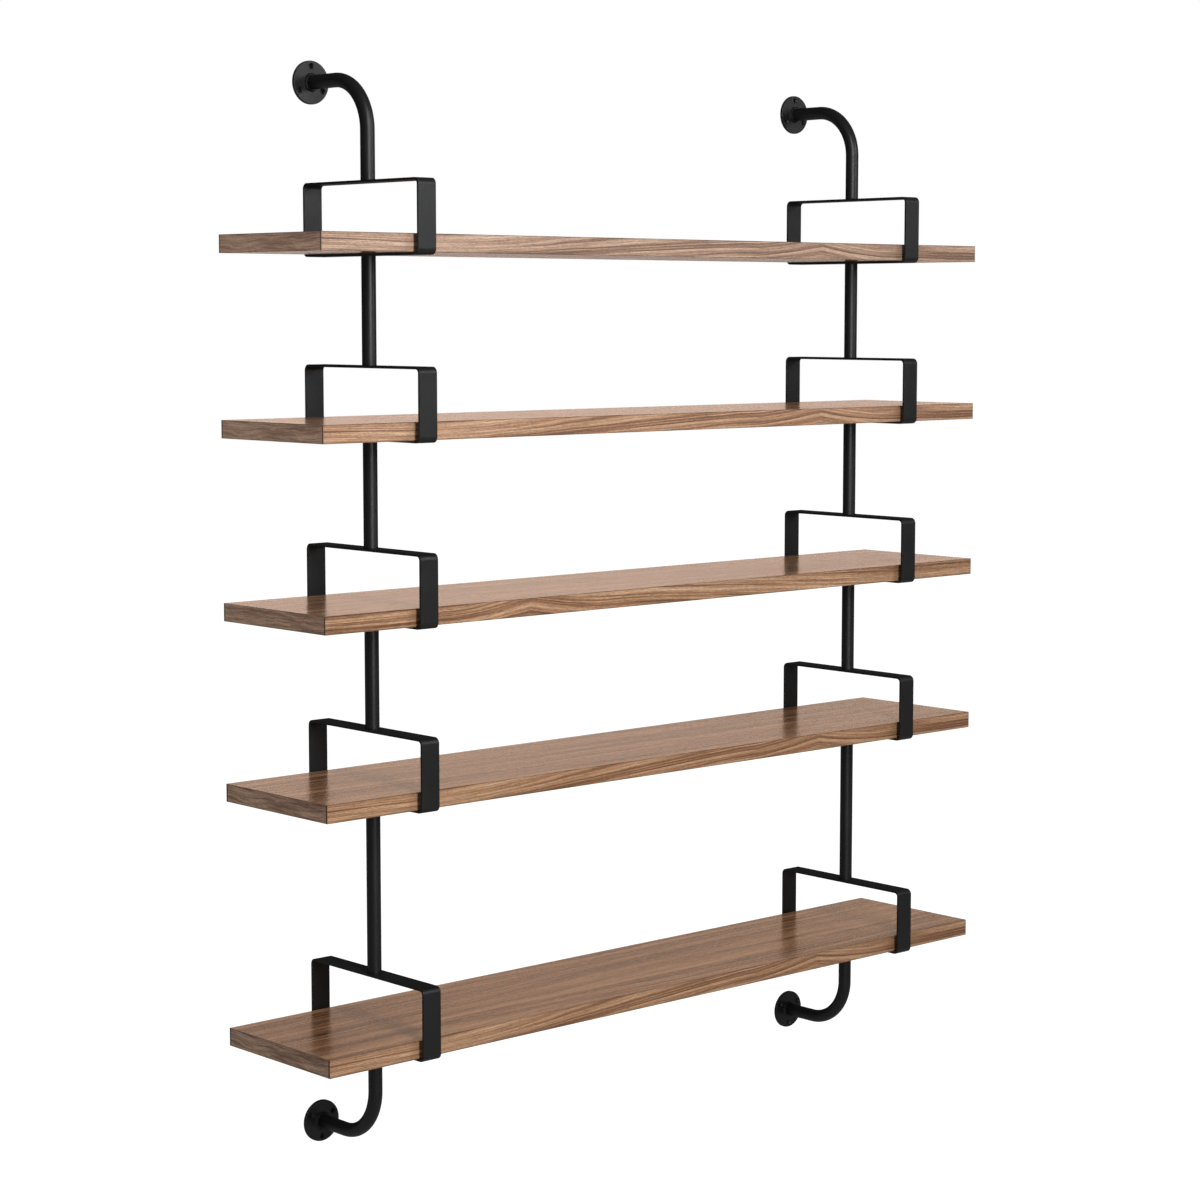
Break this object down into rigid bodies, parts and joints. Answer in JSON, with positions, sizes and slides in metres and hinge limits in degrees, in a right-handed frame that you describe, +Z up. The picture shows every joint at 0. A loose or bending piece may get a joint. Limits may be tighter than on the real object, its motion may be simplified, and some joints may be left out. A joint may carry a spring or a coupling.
{
  "type": "wall shelf with brackets",
  "caption": "Wide wall shelf: walnut-veneered boards held in rectangular flat-bar loops on black tubular uprights that bend back to round wall flanges.",
  "frame": {"origin": "on the wall plane, in the middle of the rectangle of the four wall flanges", "axes": "+X along the boards to the right, +Y into the wall, +Z up"},
  "size_m": [1.55, 0.31, 1.838],
  "materials": {
    "walnut_face": "walnut veneer, satin lacquer, grain along the board",
    "walnut_edge": "walnut veneer edge band, satin lacquer",
    "board_core": "plain fibreboard core, fully covered",
    "black_steel": "fine-textured semi-matt black powder coat",
    "screw_steel": "black oxidised screw steel",
    "plug_steel": "plain zinc-plated steel"
  },
  "bodies": {
    "root": {"left_joint_screws": "screw_steel", "left_loop_1": "black_steel", "left_loop_2": "black_steel", "left_loop_3": "black_steel", "left_loop_4": "black_steel", "left_loop_5": "black_steel", "left_lower_arm": "black_steel", "left_lower_flange": "black_steel", "left_tube_1": "black_steel", "left_tube_2": "black_steel", "left_tube_3": "black_steel", "left_tube_4": "black_steel", "left_tube_plugs": "plug_steel", "left_upper_arm": "black_steel", "left_upper_flange": "black_steel", "right_joint_screws": "screw_steel", "right_loop_1": "black_steel", "right_loop_2": "black_steel", "right_loop_3": "black_steel", "right_loop_4": "black_steel", "right_loop_5": "black_steel", "right_lower_arm": "black_steel", "right_lower_flange": "black_steel", "right_tube_1": "black_steel", "right_tube_2": "black_steel", "right_tube_3": "black_steel", "right_tube_4": "black_steel", "right_tube_plugs": "plug_steel", "right_upper_arm": "black_steel", "right_upper_flange": "black_steel", "shelf_1_core": "board_core", "shelf_1_edge_bands": "walnut_edge", "shelf_1_screws": "screw_steel", "shelf_1_veneers": "walnut_face", "shelf_2_core": "board_core", "shelf_2_edge_bands": "walnut_edge", "shelf_2_screws": "screw_steel", "shelf_2_veneers": "walnut_face", "shelf_3_core": "board_core", "shelf_3_edge_bands": "walnut_edge", "shelf_3_screws": "screw_steel", "shelf_3_veneers": "walnut_face", "shelf_4_core": "board_core", "shelf_4_edge_bands": "walnut_edge", "shelf_4_screws": "screw_steel", "shelf_4_veneers": "walnut_face", "shelf_5_core": "board_core", "shelf_5_edge_bands": "walnut_edge", "shelf_5_screws": "screw_steel", "shelf_5_veneers": "walnut_face"}
  },
  "joints": []
}
